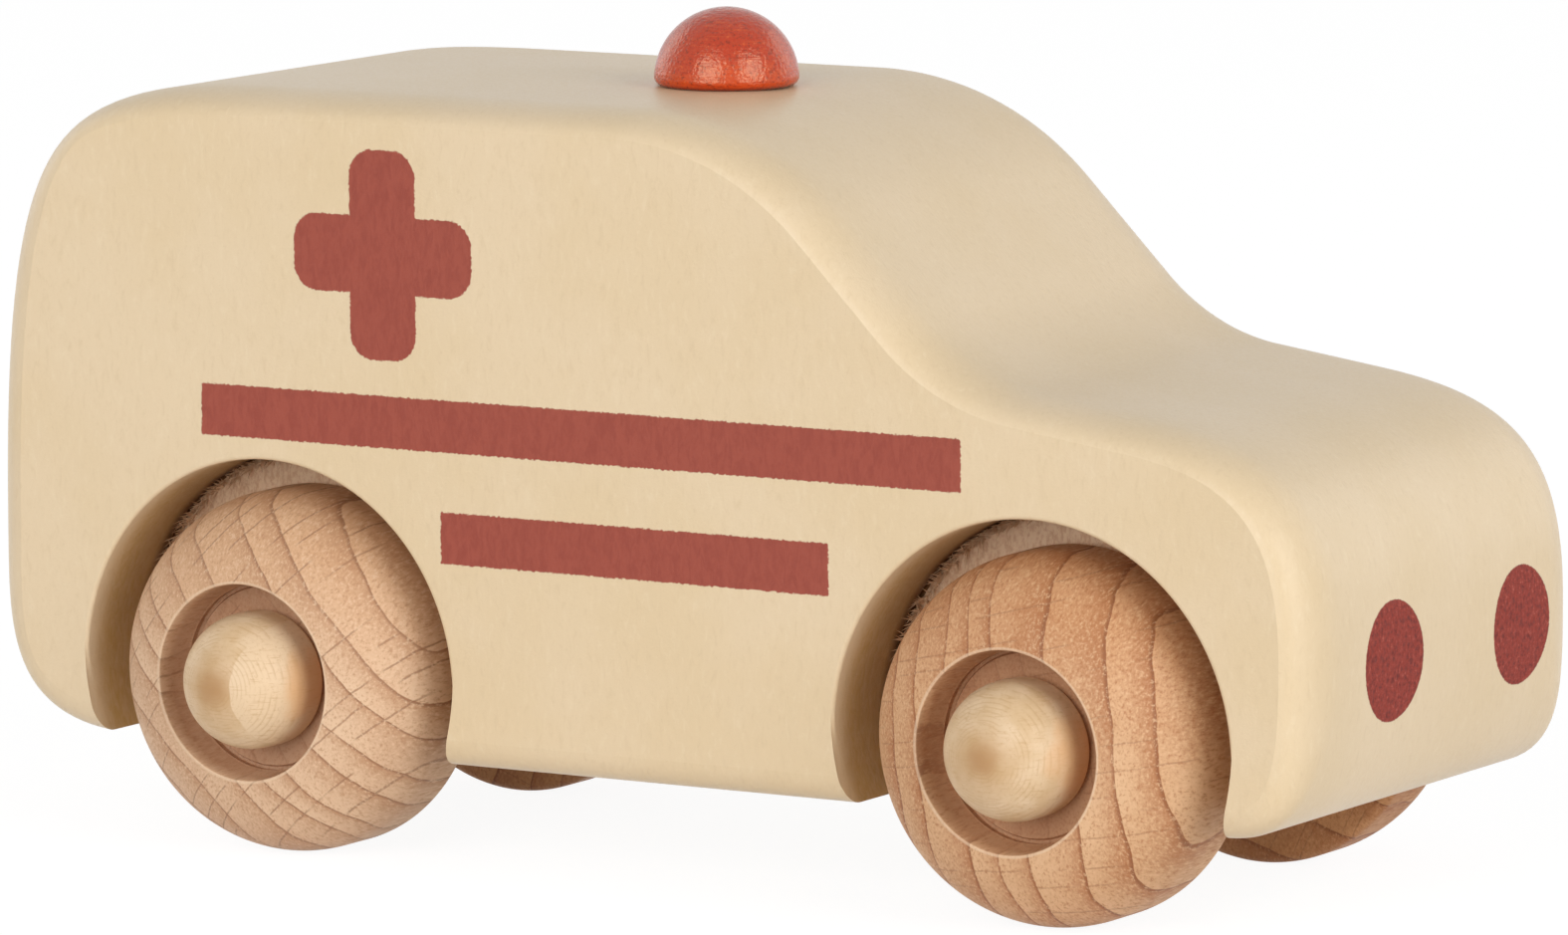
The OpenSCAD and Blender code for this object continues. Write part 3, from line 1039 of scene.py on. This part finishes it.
def maple(name, seed, split):
    """Turned maple with rings round the tip of the peg. split is how much its two halves differ."""
    look = new_look(name)
    at = look.place()
    x, _, z = look.split(at)
    moved = look.shifted(at, (seed * 19.0, seed * 7.0, seed * 29.0))
    wander = look.ramp(look.noise(moved, 3.2, 2), 0.25, 0.75, -0.4, 0.4)
    from_axle = look.length(x, z)
    away = look.plus(from_axle, wander)
    turned = look.plus(from_axle, look.times(wander, 0.15))
    year = look.math("FRACT", look.over(turned, lathe_step))
    ring = look.times(look.ramp(year, 0.5, 0.9), look.ramp(year, 1.0, 0.94))
    strength = look.ramp(look.noise(moved, 2.0, 2), 0.42, 0.62)
    cloud = look.noise(moved, 3.0, 3)
    fibre = look.noise(look.stretched(moved, 1.8, 1.6, 0.2), 1, 3, 0.6)
    fleck = look.noise(moved, 0.35, 3, 0.65)
    curve = look.minus(x, look.times(look.times(z, z), 0.04))
    curve = look.plus(curve, look.times(wander, 0.5))
    half = look.ramp(curve, split_place, split_place + 0.15)
    # Side of the head towards the nose, which takes the painted shade
    edge = look.ramp(look.plus(x, wander), 0.78 * peg_head_radius, peg_head_radius)

    colour = look.mix(look.ramp(cloud, 0.3, 0.7), MAPLE_PALE, MAPLE_DEEP)
    colour = look.mix(look.ramp(away, pith_glow_radius, 0.4, 0, 0.75), colour, MAPLE_RING)
    colour = look.mix(look.ramp(away, pith_spot_radius, 0.0, 0, 0.5), colour, MAPLE_PITH)
    colour = look.mix(look.times(half, split), colour, MAPLE_PALE)
    colour = look.mix(look.times(ring, look.times(strength, 0.32)), colour, MAPLE_RING)
    colour = look.mix(look.ramp(fibre, 0.54, 0.72, 0, 0.35), colour, MAPLE_RING)
    colour = look.mix(look.ramp(fleck, 0.52, 0.75, 0, 0.35), colour, MAPLE_RING)
    # Painted shade on that side of the head
    colour = look.mix(look.times(edge, 0.7), colour, MAPLE_SIDE_SHADE)
    relief = look.bump(ring, 0.004)
    relief = look.bump(fibre, 0.02, relief)
    return look.surface({
        "Base Color": colour,
        "Roughness": look.ramp(fibre, 0.3, 0.7, 0.44, 0.58),
        "Specular IOR Level": 0.45,
        "Normal": relief,
    })


STAIN_ORANGE = srgb(200, 62, 14)
STAIN_RED = srgb(184, 40, 6)
STAIN_TOP = srgb(180, 34, 4)
STAIN_PALE = srgb(218, 92, 36)
STAIN_DARK = srgb(118, 22, 6)
VARNISH_TINT = (1.0, 0.95, 0.66, 1.0)


def stained_beech():
    """Orange-red stain under a thin varnish, with the fine rings that the lathe left."""
    look = new_look("orange_red_stain")
    at = look.place()
    x, y, z = look.split(at)
    height = look.minus(z, roof_height)
    around = look.times(look.math("ARCTAN2", y, look.minus(x, beacon_x)), beacon_radius)
    mottle = look.noise(look.stretched(at, 2.2, 2.2, 0.8), 1, 4, 0.62)
    groove = look.noise(look.join(look.over(around, 7.0), 0.0, look.over(height, 0.2)), 1, 3, 0.65)
    fleck = look.noise(look.stretched(at, 0.45, 0.45, 0.35), 1, 4, 0.75)
    level = look.plus(height, look.ramp(mottle, 0.25, 0.75, -1.4, 1.4))

    colour = look.mix(look.ramp(level, 0.8, 3.2), STAIN_ORANGE, STAIN_RED)
    colour = look.mix(look.ramp(level, 4.4, 7.2), colour, STAIN_TOP)
    colour = look.mix(look.ramp(groove, 0.52, 0.75, 0, 0.45), colour, STAIN_PALE)
    colour = look.mix(look.ramp(fleck, 0.52, 0.66, 0, 0.75), colour, STAIN_DARK)
    colour = look.mix(look.ramp(fleck, 0.46, 0.3, 0, 0.6), colour, STAIN_PALE)
    colour = look.mix(look.ramp(height, 0.5, 0.1, 0, 0.7), colour, STAIN_DARK)
    dimple = look.noise(at, 0.4, 1)
    relief = look.bump(groove, 0.04)
    relief = look.bump(dimple, 0.07, relief)
    return look.surface({
        "Base Color": colour,
        "Roughness": look.ramp(fleck, 0.3, 0.7, 0.08, 0.26),
        "Specular IOR Level": 0.72,
        "Specular Tint": VARNISH_TINT,
        "Normal": relief,
    })


# Pieces on their bodies

# Grain of each wheel: direction and distance of the pith, ring width, strength of the rays, tones
# and a number that sets it apart
wheel_grain = {
    "wheel_front_right": (190, 150, 3.9, 0.5, BEECH_WARM, 1),
    "wheel_front_left": (250, 90, 4.2, 0.5, BEECH_SHADED, 2),
    "wheel_rear_right": (225, 110, 3.4, 0.7, BEECH_PINK, 3),
    "wheel_rear_left": (330, 100, 4.0, 0.4, BEECH_SHADED, 4),
}
# How much the two halves of each wheel's peg differ
peg_split = {
    "wheel_front_right": 0.0,
    "wheel_front_left": 0.4,
    "wheel_rear_right": 0.9,
    "wheel_rear_left": 0.2,
}


def add_piece(piece, body, node):
    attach(piece, body)
    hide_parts(node)


def add_body_and_beacon():
    add_piece(make_body(painted_wood()), "chassis", "body")
    beacon = turn_piece("turned_beacon", beacon_profile(),
                        lambda across, along, up: (beacon_x + across, along, up), stained_beech())
    add_piece(beacon, "chassis", "beacon")


def add_wheels_and_pegs():
    for number, (wheel, centre) in enumerate(axles.items()):
        corner = wheel.removeprefix("wheel_")
        place = on_axle(math.copysign(1, centre.y))
        middle = Vector((centre.x, 0, centre.z)) * MM
        wood = beech("beech_" + corner, *wheel_grain[wheel])
        made_wheel = turn_piece("turned_" + wheel, wheel_profile(), place, wood, closed=True)
        made_wheel.location = middle
        add_piece(made_wheel, wheel, wheel)
        wood = maple("maple_" + corner, number + 1, peg_split[wheel])
        made_peg = turn_piece("turned_peg_" + corner, peg_profile(), place, wood)
        made_peg.location = middle
        add_piece(made_peg, "chassis", "axle_peg_" + corner)


# Camera at the photograph's viewing angle: angles in degrees, lengths in millimetres, focal length in pixels
camera_azimuth = 31.112
camera_elevation = 7.785
camera_roll = -0.264
camera_distance = 1016.03
camera_target = Vector((1.335, 0, 37.2))
focal_pixels = 10683.3
SENSOR_WIDTH = 36


def direction(azimuth, elevation):
    """Direction from the car to a viewer. Azimuth 0 looks along +Y and 90 along -X."""
    a = math.radians(azimuth)
    e = math.radians(elevation)
    return Vector((math.sin(a) * math.cos(e), -math.cos(a) * math.cos(e), math.sin(e)))


def add_camera():
    back = direction(camera_azimuth, camera_elevation)
    right = Vector((0, 0, 1)).cross(back).normalized()
    up = back.cross(right)
    roll = math.radians(camera_roll)
    axes = (
        math.cos(roll) * right + math.sin(roll) * up,
        math.cos(roll) * up - math.sin(roll) * right,
        back,
    )
    data = bpy.data.cameras.new("camera")
    data.sensor_width = SENSOR_WIDTH
    data.lens = focal_pixels * SENSOR_WIDTH / IMAGE_WIDTH
    camera = bpy.data.objects.new("camera", data)
    place = Matrix.Translation((camera_target + camera_distance * back) * MM)
    camera.matrix_world = place @ Matrix(axes).transposed().to_4x4()
    bpy.context.scene.collection.objects.link(camera)
    bpy.context.scene.camera = camera


# Two soft boxes in front of the car and two weak ones for its far sides: azimuth, elevation, radiance
soft_boxes = ((3, 18, 3.6), (74, 18, 3.5), (150, 20, 0.9), (265, 20, 0.9))
# Sizes of the studio, in metres
soft_box_distance = 2.0
soft_box_size = 1.35
floor_radius = 6.0
sky_strength = 0.23
# Floor: its pale tones for the light that it sends back, and its glow and shade for the camera
FLOOR_PALE = srgb(250, 250, 250)
FLOOR_GRAIN = srgb(248, 248, 248)
FLOOR_SHADE = srgb(112, 112, 112)
floor_glow = 0.92
WHITE = (1, 1, 1, 1)


def add_lights():
    for number, (azimuth, elevation, radiance) in enumerate(soft_boxes):
        data = bpy.data.lights.new(f"soft_box_{number + 1}", "AREA")
        data.shape = "SQUARE"
        data.size = soft_box_size
        data.energy = radiance * math.pi * soft_box_size ** 2
        lamp = bpy.data.objects.new(data.name, data)
        towards = direction(azimuth, elevation)
        lamp.location = camera_target * MM + soft_box_distance * towards
        lamp.rotation_mode = "QUATERNION"
        lamp.rotation_quaternion = (-towards).to_track_quat("-Z", "Y")
        lamp.visible_camera = False
        bpy.context.scene.collection.objects.link(lamp)


def seen_directly(look):
    """1 where the camera, a reflection or a view through glass looks at the surroundings."""
    path = look.node("LightPath", {}).outputs
    mirrored = look.math("MAXIMUM", path["Is Glossy Ray"], path["Is Transmission Ray"])
    return look.math("MAXIMUM", path["Is Camera Ray"], mirrored)


def add_world():
    world = bpy.data.worlds.new("studio")
    bpy.context.scene.world = world
    look = Look(world)
    sky = look.node("Background", {"Color": WHITE, "Strength": sky_strength})
    white = look.node("Background", {"Color": WHITE, "Strength": 1.0})
    shader = look.node("MixShader", {0: seen_directly(look), 1: sky.outputs[0], 2: white.outputs[0]})
    look.node("OutputWorld", {"Surface": shader.outputs[0]})


def add_floor():
    """Pale round floor that looks white and keeps the car's shadow."""
    look = new_look("studio_floor")
    grain = look.noise(look.place(), 40, 3)
    pale = look.mix(look.ramp(grain, 0.3, 0.7), FLOOR_PALE, FLOOR_GRAIN)
    plain = look.node("BsdfDiffuse", {"Color": pale})
    soft = look.node("BsdfDiffuse", {"Color": FLOOR_SHADE})
    glow = look.node("Emission", {"Color": WHITE, "Strength": floor_glow})
    bright = look.node("AddShader", {0: soft.outputs[0], 1: glow.outputs[0]})
    shader = look.node("MixShader", {0: seen_directly(look), 1: plain.outputs[0], 2: bright.outputs[0]})
    look.node("OutputMaterial", {"Surface": shader.outputs[0]})
    maker = MeshMaker()
    rim = []
    radius = floor_radius / MM
    for k in range(LATHE_STEPS):
        turn = 2 * math.pi * k / LATHE_STEPS
        rim.append(maker.add(radius * math.cos(turn), radius * math.sin(turn), 0))
    maker.faces.append(tuple(rim))
    floor = maker.finish("studio_floor", look.owner)


add_body_and_beacon()
add_wheels_and_pegs()
add_camera()
add_lights()
add_world()
add_floor()
bpy.context.scene.view_settings.view_transform = "Standard"
